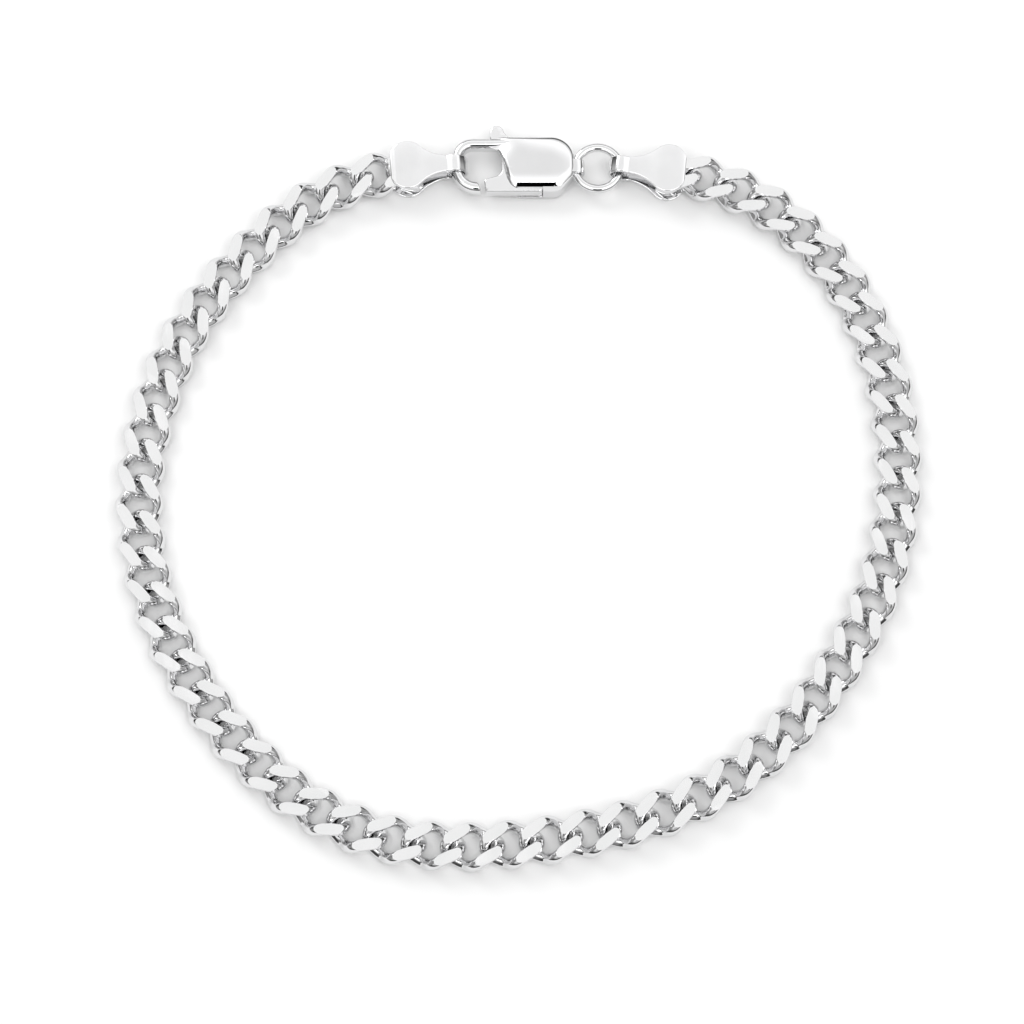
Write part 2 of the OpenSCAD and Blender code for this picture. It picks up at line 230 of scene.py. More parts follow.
def chain_joints():
    """The places where neighbouring links meet, from the left cap anticlockwise to the right one."""
    start = left_fold + (fold_x - LEFT_JOINT_DEPTH) * heading(LEFT_CAP_TURN, -1)
    end = right_fold + (fold_x - RIGHT_JOINT_DEPTH) * heading(RIGHT_CAP_TURN, 1)
    start_step = END_STEP * heading(LEFT_CAP_TURN + CHAIN_TURN, -1)
    end_step = END_STEP * heading(RIGHT_CAP_TURN + CHAIN_TURN, 1)
    guides = [start - start_step, start, start + start_step, *CHAIN_ROUTE * LOOP_W / ROUTE_W,
              end + end_step, end, end - end_step]
    route = np.array(smooth_curve(guides) + [end])
    along = np.concatenate([[0], np.cumsum(np.linalg.norm(np.diff(route, axis=0), axis=1))])
    pitch = along[-1] / (LINK_COUNT - 2)
    s = np.arange(LINK_COUNT - 1) * pitch
    index = np.arange(LINK_COUNT - 1)
    u = np.maximum(0, 1 - np.minimum(index, LINK_COUNT - 2 - index) / RAMP_JOINTS)
    lift = (mid_z - link_t / 2 - CHAIN_GAP) * u * u * (3 - 2 * u)
    x, y = np.interp(s, along, route[:, 0]), np.interp(s, along, route[:, 1])
    return np.stack([x, y, link_t / 2 + CHAIN_GAP + lift], axis=1), pitch


joints, link_pitch = chain_joints()
loop_a = link_pitch / 2 + WIRE_R + LINK_GAP

# Middle line of a link's wire from above: round ends and bent sides, joined by straight slanted runs
end_mid_x = loop_a - END_BEND_R
side_mid_y = loop_b - SIDE_BEND_R
bend_gap = math.hypot(end_mid_x, side_mid_y)
slant = math.atan2(side_mid_y, end_mid_x) + math.asin((SIDE_BEND_R - END_BEND_R) / bend_gap)
end_run = END_BEND_R * (math.pi / 2 - slant)
straight_run = math.sqrt(bend_gap ** 2 - (SIDE_BEND_R - END_BEND_R) ** 2)
quarter_run = end_run + straight_run + SIDE_BEND_R * slant


def wire_at(t):
    """Middle of a link's wire and the level way across it, t quarters round from the right end."""
    k = math.floor(t) % 4
    f = t - math.floor(t)
    run = quarter_run * (f if k % 2 == 0 else 1 - f)
    if run < end_run:
        a = run / END_BEND_R
        x, y = end_mid_x + END_BEND_R * math.cos(a), END_BEND_R * math.sin(a)
    elif run < end_run + straight_run:
        a = math.pi / 2 - slant
        past = run - end_run
        x = end_mid_x + END_BEND_R * math.cos(a) - past * math.sin(a)
        y = END_BEND_R * math.sin(a) + past * math.cos(a)
    else:
        a = math.pi / 2 - (quarter_run - run) / SIDE_BEND_R
        x, y = SIDE_BEND_R * math.cos(a), side_mid_y + SIDE_BEND_R * math.sin(a)
    sx = 1 if k in (0, 3) else -1
    sy = 1 if k < 2 else -1
    u = (-1 if k % 2 == 0 else 1) * math.sin(math.pi * f)
    z = link_rise * u * (1 + RISE_HOLD * (1 - u * u))
    return np.array([sx * x, sy * y, z]), np.array([sx * math.cos(a), sy * math.sin(a), 0])


def link_matrix(i):
    """Where link i goes, as a 4x4 matrix."""
    if i == 0:
        along = np.append(heading(LEFT_CAP_TURN + CHAIN_TURN / 2, -1), 0)
        mid = joints[0] - link_pitch / 2 * along
    elif i == LINK_COUNT - 1:
        along = -np.append(heading(RIGHT_CAP_TURN + CHAIN_TURN / 2, 1), 0)
        mid = joints[-1] + link_pitch / 2 * along
    else:
        along = joints[i] - joints[i - 1]
        along = along / np.linalg.norm(along)
        mid = (joints[i] + joints[i - 1]) / 2
    side = np.array([-along[1], along[0], 0]) / math.hypot(along[0], along[1])
    m = np.eye(4)
    m[:3, 0], m[:3, 1], m[:3, 2], m[:3, 3] = along, side, np.cross(along, side), mid
    return m


def facet_reach(a, way, depth):
    """How far the wire reaches at angle a of its section, with a flat of some depth facing way."""
    turn = (a - way + math.pi) % (2 * math.pi) - math.pi
    return (WIRE_R - depth) / math.cos(turn) if abs(turn) < 1.2 else WIRE_R


def wire_mesh(places, closed):
    """Round wire of one link, as a bmesh in the link's own frame. Where the wire runs low, its outer
    side has a flat that faces up and outwards, and where it runs high, one that faces down."""
    bm = bmesh.new()
    rings = []
    tilt = math.radians(FACET_ANGLE)
    for t in places:
        mid, out = wire_at(t)
        along = wire_at(t + 0.001)[0] - wire_at(t - 0.001)[0]
        up = np.cross(along, out)
        up = up / np.linalg.norm(up) * (1 if up[2] > 0 else -1)
        lean = mid[2] / link_rise
        upper_depth = FACET_DEPTH * min(1, max(0, -FACET_GROWTH * lean))
        lower_depth = FACET_DEPTH * min(1, max(0, FACET_GROWTH * lean))
        ring = []
        for k in range(WIRE_SIDES):
            a = 2 * math.pi * (k + 0.5) / WIRE_SIDES
            r = min(WIRE_R, facet_reach(a, tilt, upper_depth), facet_reach(a, -tilt, lower_depth))
            ring.append(bm.verts.new(mid + r * (math.cos(a) * out + math.sin(a) * up)))
        rings.append(ring)
    pairs = list(zip(rings, rings[1:])) + ([(rings[-1], rings[0])] if closed else [])
    for low, high in pairs:
        for k in range(WIRE_SIDES):
            j = (k + 1) % WIRE_SIDES
            bm.faces.new((low[k], high[k], high[j], low[j]))
    if not closed:
        bm.faces.new(rings[0])
        bm.faces.new(reversed(rings[-1]))
    bmesh.ops.recalc_face_normals(bm, faces=bm.faces)
    return bm


def cut(bm, normal, distance, material):
    """Grinds a bmesh flat: what lies past the plane goes, and the cut gets its own material."""
    n = Vector(normal).normalized()
    made = bmesh.ops.bisect_plane(bm, geom=bm.verts[:] + bm.edges[:] + bm.faces[:], dist=1e-5,
                                  plane_co=n * distance, plane_no=n, clear_outer=True)
    edges = [e for e in made["geom_cut"] if isinstance(e, bmesh.types.BMEdge)]
    for f in bmesh.ops.edgeloop_fill(bm, edges=edges)["faces"]:
        f.normal_update()
        if f.normal.dot(n) < 0:
            f.normal_flip()
        f.material_index = material


def link_mesh(places, closed):
    """A link: its wire, ground flat above and below."""
    bm = wire_mesh(places, closed)
    cut(bm, (0, 0, 1), link_t / 2, 1)
    cut(bm, (0, 0, -1), link_t / 2, 1)
    bmesh.ops.remove_doubles(bm, verts=bm.verts, dist=LINK_MERGE_DIST)
    return bm


def bm_arrays(bm):
    """A bmesh as arrays: corners, faces as index lists, and each face's material."""
    bm.verts.index_update()
    verts = np.array([v.co for v in bm.verts])
    faces = [[v.index for v in f.verts] for f in bm.faces]
    slots = [f.material_index for f in bm.faces]
    bm.free()
    return verts, faces, slots


def join_parts(parts):
    """Joins (corners, faces, materials) triples into one."""
    verts, faces, slots, at = [], [], [], 0
    for v, f, s in parts:
        verts.append(v)
        faces += [[i + at for i in face] for face in f]
        slots += s
        at += len(v)
    return np.concatenate(verts), faces, slots


def placed(part, m):
    """A part moved by a 4x4 matrix."""
    v, f, s = part
    return v @ m[:3, :3].T + m[:3, 3], f, s


def add_piece(name, part, node, materials, body="bracelet"):
    """Makes the object of a piece, with rounded shading over its small faces and true flats."""
    verts, faces, slots = part
    mesh = bpy.data.meshes.new(name)
    mesh.from_pydata((verts * MM).tolist(), [], faces)
    for m in materials:
        mesh.materials.append(m)
    mesh.polygons.foreach_set("material_index", slots)
    mesh.polygons.foreach_set("use_smooth", [True] * len(faces))
    mesh.validate()
    mesh.set_sharp_from_angle(angle=math.radians(SHARP_ANGLE))
    obj = bpy.data.objects.new(name, mesh)
    bpy.context.collection.objects.link(obj)
    weighted = obj.modifiers.new("Even normals", "WEIGHTED_NORMAL")
    weighted.keep_sharp = True
    weighted.weight = 90
    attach(obj, body)
    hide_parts(node)


# Outlines and slabs
def arc(centre, radius, start, end, steps):
    """Points on an arc, angles in degrees."""
    a = np.radians(np.linspace(start, end, steps))
    return [(centre[0] + radius * math.cos(t), centre[1] + radius * math.sin(t)) for t in a]


def resample(points, step):
    """A closed outline with even steps."""
    p = np.array(list(points) + [points[0]], float)
    along = np.concatenate([[0], np.cumsum(np.linalg.norm(np.diff(p, axis=0), axis=1))])
    n = max(16, int(round(along[-1] / step)))
    s = np.arange(n) * along[-1] / n
    return np.stack([np.interp(s, along, p[:, 0]), np.interp(s, along, p[:, 1])], axis=1)


def relaxed(outline, times):
    """A closed outline with its corners eased."""
    for _ in range(times):
        outline = outline * 0.5 + (np.roll(outline, 1, axis=0) + np.roll(outline, -1, axis=0)) * 0.25
    return outline


def inward(outline):
    """Inward directions along an anticlockwise outline."""
    t = np.roll(outline, -1, axis=0) - np.roll(outline, 1, axis=0)
    n = np.stack([-t[:, 1], t[:, 0]], axis=1)
    return n / np.linalg.norm(n, axis=1, keepdims=True)


def slab(outline, low_z, high_z, top_in, top_drop, low_in, low_drop, rows=8, grid=0.0):
    """Closed solid over an anticlockwise outline, rounded above and below.
    top_in and top_drop are how far the rounding reaches inwards and down, as numbers or one a point.
    With a grid, the upper side is divided into squares of that size, so that it can be shaped."""
    n = len(outline)
    nrm = inward(outline)
    rings = []

    def ring(inset, z):
        inset = np.broadcast_to(inset, (n,))
        z = np.broadcast_to(z, (n,))
        rings.append(np.column_stack([outline + nrm * inset[:, None], z]))

    for k in range(rows + 1):
        a = math.pi / 2 * (1 - k / rows)
        ring(np.asarray(low_in) * (1 - math.cos(a)), low_z + np.asarray(low_drop) * (1 - math.sin(a)))
    for k in range(rows + 1):
        a = math.pi / 2 * k / rows
        ring(np.asarray(top_in) * (1 - math.cos(a)), high_z - np.asarray(top_drop) * (1 - math.sin(a)))
    verts = np.concatenate(rings)
    faces = [list(range(n))[::-1]]
    for r in range(len(rings) - 1):
        for i in range(n):
            j = (i + 1) % n
            faces.append([r * n + i, r * n + j, (r + 1) * n + j, (r + 1) * n + i])
    faces.append([(len(rings) - 1) * n + i for i in range(n)])
    return merged(verts, faces, grid=grid)


def divided(bm, step):
    """Cuts the upper side of a bmesh into squares."""
    high = max(v.co.z for v in bm.verts)
    for axis in (0, 1):
        places = [v.co[axis] for v in bm.verts]
        for at in np.arange(min(places) + step / 2, max(places), step):
            top = [f for f in bm.faces if min(v.co.z for v in f.verts) > high - MERGE_DIST]
            edges = {e for f in top for e in f.edges}
            verts = {v for f in top for v in f.verts}
            way = Vector((1 - axis, axis, 0))
            bmesh.ops.bisect_plane(bm, geom=[*top, *edges, *verts], dist=MERGE_DIST, plane_co=way * at,
                                   plane_no=way)


def merged(verts, faces, grid=0.0):
    """Arrays as a part, with coinciding corners joined and the faces turned outwards."""
    bm = bmesh.new()
    made = [bm.verts.new(v) for v in verts]
    for f in faces:
        if len(set(f)) > 2:
            bm.faces.new([made[i] for i in f])
    bmesh.ops.remove_doubles(bm, verts=bm.verts, dist=MERGE_DIST)
    bmesh.ops.recalc_face_normals(bm, faces=bm.faces)
    if grid > 0:
        divided(bm, grid)
    return bm_arrays(bm)


def swept(path, frames, section, closed=False):
    """A tube: at each path point, section(i) gives (sideways, up) pairs along frames[i] = (side, up)."""
    rings = []
    for i, p in enumerate(path):
        side, up = frames[i]
        rings.append(np.array([p + a * side + b * up for a, b in section(i)]))
    n = len(rings[0])
    verts = np.concatenate(rings)
    faces = []
    pairs = [(i, i + 1) for i in range(len(rings) - 1)] + ([(len(rings) - 1, 0)] if closed else [])
    for p, q in pairs:
        for k in range(n):
            j = (k + 1) % n
            faces.append([p * n + k, q * n + k, q * n + j, p * n + j])
    if not closed:
        faces.append(list(range(n)))
        faces.append([(len(rings) - 1) * n + k for k in range(n)][::-1])
    return merged(verts, faces)


def rounded_section(half_wide, half_tall, r):
    """(sideways, up) pairs round a rectangle with round corners."""
    out = []
    for sx, sy, start in ((1, 1, 0), (-1, 1, 90), (-1, -1, 180), (1, -1, 270)):
        out += arc((sx * (half_wide - r), sy * (half_tall - r)), r, start, start + 90, CORNER_STEPS)
    return out


# Materials
def polished_silver(name, light, dark, low_rough, high_rough, scratch, stretch, wear=0.14):
    """Polished metal: a slightly uneven colour and gloss, fine hairlines, soft handling marks, and
    edges that wear has made paler and less glossy. wear is the roughness that it adds there."""
    m = bpy.data.materials.new(name)
    m.use_nodes = True
    nodes, links = m.node_tree.nodes, m.node_tree.links
    shader = nodes["Principled BSDF"]
    shader.inputs["Metallic"].default_value = 1.0
    place = nodes.new("ShaderNodeTexCoord")
    hairs = nodes.new("ShaderNodeMapping")
    hairs.inputs["Scale"].default_value = stretch
    links.new(place.outputs["Object"], hairs.inputs["Vector"])
    hair = nodes.new("ShaderNodeTexNoise")
    hair.inputs["Scale"].default_value = HAIR_SCALE
    hair.inputs["Detail"].default_value = 6
    links.new(hairs.outputs["Vector"], hair.inputs["Vector"])
    cloud = nodes.new("ShaderNodeTexNoise")
    cloud.inputs["Scale"].default_value = CLOUD_SCALE
    cloud.inputs["Detail"].default_value = 3
    links.new(place.outputs["Object"], cloud.inputs["Vector"])
    tone = nodes.new("ShaderNodeValToRGB")
    tone.color_ramp.elements[0].position = 0.3
    tone.color_ramp.elements[0].color = (*dark, 1)
    tone.color_ramp.elements[1].position = 0.7
    tone.color_ramp.elements[1].color = (*light, 1)
    links.new(cloud.outputs["Fac"], tone.inputs["Fac"])
    form = nodes.new("ShaderNodeNewGeometry")
    edge = nodes.new("ShaderNodeMapRange")
    edge.inputs["From Min"].default_value = EDGE_START
    edge.inputs["From Max"].default_value = EDGE_FULL
    links.new(form.outputs["Pointiness"], edge.inputs["Value"])
    rubbed = nodes.new("ShaderNodeMath")
    rubbed.operation = "MULTIPLY"
    links.new(edge.outputs["Result"], rubbed.inputs[0])
    links.new(hair.outputs["Fac"], rubbed.inputs[1])
    paler = nodes.new("ShaderNodeMix")
    paler.data_type = "RGBA"
    links.new(rubbed.outputs[0], paler.inputs["Factor"])
    links.new(tone.outputs["Color"], paler.inputs[6])
    paler.inputs[7].default_value = (*[min(1.0, c * EDGE_PALER) for c in light], 1)
    links.new(paler.outputs[2], shader.inputs["Base Color"])
    rough = nodes.new("ShaderNodeMapRange")
    rough.inputs["From Min"].default_value = 0.3
    rough.inputs["From Max"].default_value = 0.7
    rough.inputs["To Min"].default_value = low_rough
    rough.inputs["To Max"].default_value = high_rough
    links.new(hair.outputs["Fac"], rough.inputs["Value"])
    duller = nodes.new("ShaderNodeMath")
    duller.operation = "MULTIPLY_ADD"
    duller.inputs[1].default_value = wear
    links.new(rubbed.outputs[0], duller.inputs[0])
    links.new(rough.outputs["Result"], duller.inputs[2])
    links.new(duller.outputs[0], shader.inputs["Roughness"])
    bump = nodes.new("ShaderNodeBump")
    bump.inputs["Strength"].default_value = scratch
    bump.inputs["Distance"].default_value = SCRATCH_DEPTH
    links.new(hair.outputs["Fac"], bump.inputs["Height"])
    links.new(bump.outputs["Normal"], shader.inputs["Normal"])
    return m


# The links' flats, the cap sheets and the lever below get lighter copies of this same silver: that lift in
# tone is painted light, so those faces read as bright as the lamp and sky make them.
wire_silver = polished_silver("link_wire", (0.78, 0.78, 0.785), (0.74, 0.74, 0.745), 0.04, 0.09, 0.1,
                              (1, 1, 1))
# Flats: their tone above the wire's is painted light for their bright overhead reflection; their rougher,
# streaked finish is the real grinding.
flat_silver = polished_silver("link_flats", (0.87, 0.87, 0.872), (0.83, 0.835, 0.835), 0.1, 0.17, 0.1,
                              (9, 0.6, 1), wear=0.03)
# Cap sheet: set lighter than the wire, painted light for the caps' brighter wide ends.
cap_silver = polished_silver("cap_sheet", (0.86, 0.86, 0.865), (0.81, 0.81, 0.815), 0.05, 0.1, 0.08,
                             (0.5, 6, 1))
ring_silver = polished_silver("ring_wire", (0.78, 0.78, 0.785), (0.74, 0.74, 0.745), 0.04, 0.08, 0.08,
                              (1, 1, 1))
clasp_silver = polished_silver("clasp_cast", (0.78, 0.78, 0.785), (0.75, 0.75, 0.755), 0.03, 0.07, 0.05,
                               (0.6, 3, 1))
# Lever: set lighter than the clasp body, painted light.
lever_silver = polished_silver("lever_cast", (0.84, 0.84, 0.845), (0.8, 0.8, 0.805), 0.06, 0.12, 0.08,
                               (3, 0.6, 1))
pin_steel = polished_silver("pin_steel", (0.62, 0.62, 0.64), (0.52, 0.52, 0.55), 0.18, 0.3, 0.2,
                            (1, 1, 8))


# Chain
def build_chain():
    """Both halves of the chain, as one piece each."""
    whole = bm_arrays(link_mesh(4 * np.arange(WIRE_SECTIONS) / WIRE_SECTIONS, True))

    def half(end, leg):
        sweep = 1 + leg / quarter_run
        return bm_arrays(link_mesh(end + np.linspace(-sweep, sweep, WIRE_SECTIONS // 2 + 1), False))

    first, last = half(0, LEFT_LEG), half(2, RIGHT_LEG)
    parts = [placed(first if i == 0 else last if i == LINK_COUNT - 1 else whole, link_matrix(i))
             for i in range(LINK_COUNT)]
    middle = LINK_COUNT // 2
    for node, some in (("chain_left", parts[:middle]), ("chain_right", parts[middle:])):
        add_piece(node + "_links", join_parts(some), node, [wire_silver, flat_silver])


# End caps
def cap_half_width(x):
    """Half width of a cap's sheet at x from its wide end: a round corner, then a hollow curve."""
    corner_y = CAP_W / 2 - CAP_CORNER_R
    neck_x = fold_x - CAP_NECK_L
    run, step = neck_x - CAP_CORNER_R, CAP_NECK_W / 2 - corner_y
    hollow_r = (run * run + step * step - CAP_CORNER_R ** 2) / 2 / (CAP_CORNER_R - step)
    if x >= neck_x:
        return CAP_NECK_W / 2
    hollow = CAP_NECK_W / 2 + hollow_r - math.sqrt(max(0, hollow_r ** 2 - (neck_x - x) ** 2))
    bulge = corner_y + math.sqrt(max(0, CAP_CORNER_R ** 2 - (CAP_CORNER_R - x) ** 2))
    turn = CAP_CORNER_R / (CAP_CORNER_R + hollow_r)
    meet_x = CAP_CORNER_R + turn * run
    return bulge if x < meet_x else hollow


def cap_path():
    """The middle line of the folded sheet in (x, z), from the upper wide end round to the lower one.
    The neck sinks slightly, and the fold has pressed creases."""
    r = fold_r + CAP_WALL / 2
    top = [(-fold_x, r), (-fold_x + 1.5, r), (-fold_x + 2.6, r - 0.04), (-0.6, r - CAP_SINK),
           (-0.08, r - 0.02)]
    fold = [(r * math.sin(a), r * math.cos(a)) for a in np.radians([18, 56, 85])]
    upper = top + fold
    return upper + [(r, 0)] + [(x, -z) for x, z in reversed(upper)]


def build_cap(name, node, place):
    """One folded cap. place is its 4x4 matrix."""
    corners = np.array(cap_path())
    along = np.concatenate([[0], np.cumsum(np.linalg.norm(np.diff(corners, axis=0), axis=1))])
    ease = CAP_WALL / 2
    end = along[-1]
    marks = set(np.linspace(0, end, CAP_STEPS))
    marks |= {ease * (1 - math.cos(a)) for a in np.linspace(0, math.pi / 2, 7)}
    marks |= {end - ease * (1 - math.cos(a)) for a in np.linspace(0, math.pi / 2, 7)}
    marks |= {CAP_CORNER_R * (1 - math.cos(a)) for a in np.linspace(0, math.pi / 2, 16)}
    marks |= {end - CAP_CORNER_R * (1 - math.cos(a)) for a in np.linspace(0, math.pi / 2, 16)}
    s = np.array(sorted(marks))
    fine = np.linspace(0, end, 1200)
    raw = np.stack([np.interp(fine, along, corners[:, 0]), np.interp(fine, along, corners[:, 1])], axis=1)
    for _ in range(CAP_EASE_ROUNDS):
        raw[1:-1] = raw[1:-1] * 0.5 + (raw[:-2] + raw[2:]) * 0.25
    line = np.stack([np.interp(s, fine, raw[:, 0]), np.interp(s, fine, raw[:, 1])], axis=1)
    tangent = np.gradient(line, s, axis=0)
    tangent /= np.linalg.norm(tangent, axis=1, keepdims=True)
    path = [np.array([x, 0, z + mid_z]) for x, z in line]
    frames = [(np.array([0, 1.0, 0]), np.array([-t[1], 0, t[0]])) for t in tangent]

    def section(i):
        left = min(s[i], end - s[i])
        thick = CAP_WALL / 2
        if left < ease:
            thick = max(0.02, math.sqrt(max(0, ease ** 2 - (ease - left) ** 2)))
        return rounded_section(cap_half_width(left), thick, min(0.1, thick * 0.98))

    part = swept(path, frames, section)
    add_piece(name, placed(part, place), node, [cap_silver])


def turned(angle, x, y, z=0.0):
    """4x4 matrix: a turn about Z in degrees, then a move."""
    a = math.radians(angle)
    m = np.eye(4)
    m[:2, :2] = [[math.cos(a), -math.sin(a)], [math.sin(a), math.cos(a)]]
    m[:3, 3] = (x, y, z)
    return m


# Jump ring
def build_ring():
    """Round wire ring, closed with a fine butt seam beside the clasp."""
    centre = np.array([CLASP_X + ring_x, CLASP_Y - TAIL_DROP, mid_z])
    path, frames = [], []
    for k in range(RING_STEPS):
        a = math.pi + 2 * math.pi * k / RING_STEPS
        out = np.array([math.cos(a), math.sin(a), 0])
        path.append(centre + ring_r * out)
        frames.append((out, np.array([0, 0, 1.0])))

    def section(i):
        r = RING_WIRE_D / 2 * (RING_SEAM if i == 0 else 1)
        return arc((0, 0), r, 0, 345, 24)

    part = swept(path, frames, section, closed=True)
    add_piece("jump_ring_wire", part, "jump_ring", [ring_silver])


# Clasp
def hook_part():
    """The hook's bent band, from inside the body round to its tip."""
    path_r = HOOK_CORNER_R - HOOK_W / 2
    top_y = half_w - HOOK_W / 2
    corner_x = hook_x + HOOK_CORNER_R
    tip_x = gate_x - GATE_GAP
    line = [(gap_end_x + 1.2, top_y), (corner_x, top_y)]
    line += arc((corner_x, half_w - HOOK_CORNER_R), path_r, 90, 180, 16)[1:]
    low_r = path_r + 0.4
    line += arc((hook_x + HOOK_W / 2 + low_r, low_r - top_y), low_r, 180, 270, 16)
    line += [(tip_x - 0.24, -top_y)]
    p = np.array(line)
    along = np.concatenate([[0], np.cumsum(np.linalg.norm(np.diff(p, axis=0), axis=1))])
    tip_marks = along[-1] - TIP_EASE * (1 - np.cos(np.linspace(0, math.pi / 2, 6)))
    s = np.unique(np.concatenate([np.linspace(0, along[-1], 90), tip_marks]))
    line = np.stack([np.interp(s, along, p[:, 0]), np.interp(s, along, p[:, 1])], axis=1)
    tangent = np.gradient(line, s, axis=0)
    tangent /= np.linalg.norm(tangent, axis=1, keepdims=True)
    path = [np.array([x, y, mid_z]) for x, y in line]
    slants = TIP_SLANT * np.clip(1 - (along[-1] - s) / 0.6, 0, 1)
    frames = [(np.array([t[1] + k * t[0], k * t[1] - t[0], 0]), np.array([0, 0, 1.0]))
              for t, k in zip(tangent, slants)]

    def section(i):
        left = along[-1] - s[i]
        shrink = 0.0
        if left < TIP_EASE:
            shrink = TIP_EASE - math.sqrt(max(0, TIP_EASE ** 2 - (TIP_EASE - left) ** 2))
        w, h = HOOK_W / 2 - shrink, HOOK_T / 2 - shrink
        swell = HOOK_SWELL * (1 - arm_share(line[i][0])) if line[i][1] > 0 else 0.0
        out = []
        for k in range(HOOK_SIDES):
            a = 2 * math.pi * k / HOOK_SIDES
            c, d = math.cos(a), math.sin(a)
            tall = h + swell if d > 0 else h
            wide_at = math.copysign(abs(c) ** HOOK_SQUARENESS, c)
            tall_at = math.copysign(abs(d) ** HOOK_SQUARENESS, d)
            out.append((w * wide_at, tall * tall_at))
        return out

    return swept(path, frames, section)


def shell_outline():
    """Outline of the upper shell, anticlockwise, with how far its edge is rounded inwards and down."""
    foot_x = body_end_x - 1.85
    arm_x = gap_end_x - 1.1
    arm_y = half_w - HOOK_W / 2
    line = [(gap_end_x + 0.3, half_w), (gap_end_x - 0.4, arm_y + 0.42), (arm_x, arm_y + 0.3),
            (arm_x, arm_y - 0.3), (gap_end_x - 0.85, arm_y - 0.42), (gap_end_x - 0.6, 1.4),
            (gap_end_x - 0.32, 1.24), (gap_end_x - 0.1, 0.92), (gap_end_x + 0.02, 0.55),
            (gap_end_x + 0.24, -0.15), (gap_end_x + 0.34, -0.6), (gap_end_x + 0.5, -1.15),
            (gap_end_x + 0.76, -1.65), (gap_end_x + 1.05, SHELL_FRONT_Y + 0.12),
            (gap_end_x + 1.35, SHELL_FRONT_Y), (foot_x, SHELL_FRONT_Y), (foot_x + 0.1, SHELL_FRONT_Y - 0.2),
            (foot_x + 0.4, SHELL_FRONT_Y - 0.15), (body_end_x - 0.85, -1.7), (body_end_x - 0.1, -0.95),
            (body_end_x, -0.7), (body_end_x, half_w - SHOULDER_R)]
    line += arc((body_end_x - SHOULDER_R, half_w - SHOULDER_R), SHOULDER_R, 0, 90, 24)[1:]
    outline = relaxed(resample(line, 0.06), 8)
    x, y = outline[:, 0], outline[:, 1]
    inset, drop = np.full(len(outline), 0.34), np.full(len(outline), 0.42)
    slack = (x < gap_end_x + 1.3) & (y < half_w - 0.5)
    inset[slack], drop[slack] = 0.46, 0.44
    corner = slack & (y > 0.3)
    inset[corner], drop[corner] = 0.4, 0.44
    arm = (x < gap_end_x - 0.3) & (y > 1.4)
    inset[arm], drop[arm] = 0.26, 0.24
    front = (y < SHELL_FRONT_Y + 0.3) & (x > gap_end_x + 1.2)
    inset[front], drop[front] = 0.06, 0.06
    chamfer = (x > foot_x + 0.05) & (y < -0.5)
    inset[chamfer], drop[chamfer] = 0.62, 0.46
    for _ in range(5):
        inset = inset * 0.5 + (np.roll(inset, 1) + np.roll(inset, -1)) * 0.25
        drop = drop * 0.5 + (np.roll(drop, 1) + np.roll(drop, -1)) * 0.25
    return outline, inset, drop


def base_outline():
    """Outline of the lower shell and of the solid end, anticlockwise."""
    foot_r = 1.0
    foot_x = body_end_x - 1.7
    line = [(gap_end_x - 0.2, half_w), (gap_end_x - 0.2, half_w - HOOK_W), (gap_end_x + 0.3, 1.0),
            (gap_end_x + 0.38, -0.2), (gap_end_x + 0.54, -1.1), (gap_end_x + 0.8, 0.55 - half_w),
            (gap_end_x + 1.25, -half_w), (foot_x - 0.6, -half_w)]
    line += arc((foot_x, foot_r - half_w), foot_r, 270, 315, 8)
    line += [(body_end_x - 0.1, -1.0), (body_end_x, -0.8), (body_end_x, half_w - SHOULDER_R)]
    line += arc((body_end_x - SHOULDER_R, half_w - SHOULDER_R), SHOULDER_R, 0, 90, 24)[1:]
    return relaxed(resample(line, 0.07), 8)


def arm_share(x):
    """How far along from the body (0) to the hook's plain band (1)."""
    u = np.clip((gap_end_x + 1.9 - x) / 3.0, 0, 1)
    return u ** 3 * (u * (6 * u - 15) + 10)


def shell_sink(verts):
    """How far the shell's upper side lies below its highest plane: it falls away gently towards the
    back and the ring, more towards the front, and comes down to the hook's band along the arm."""
    x, y, z = verts.T
    low = LEVER_TOP + LEVER_GAP
    above = np.clip((z - low) / (CLASP_T - low), 0, 1)
    front = np.clip(-0.5 - y, 0, None)
    steep = np.clip(-1.61 - y, 0, None)
    back = np.clip(y - 0.9 + 0.2 * x, 0, None)
    right = np.clip(x - (body_end_x - 1.9), 0, None)
    u = arm_share(x)
    v = np.clip((y + 0.6) / 2.4, 0, 1)
    arm = (CLASP_T - mid_z - HOOK_T / 2 + 0.12) * u * v * v * (3 - 2 * v)
    dome = 0.19 * front ** 2 + 0.3 * steep ** 2 + 0.08 * back ** 2 * (1 - u) + 0.06 * right ** 2
    return (dome + arm) * above


def clip_outline(outline, keep):
    """The points of an outline that keep(x, y) holds, in order."""
    flags = np.array([keep(x, y) for x, y in outline])
    start = next(i for i in range(len(flags)) if flags[i] and not flags[i - 1])
    order = [(start + k) % len(flags) for k in range(len(flags))]
    return [tuple(outline[i]) for i in order if flags[i]]


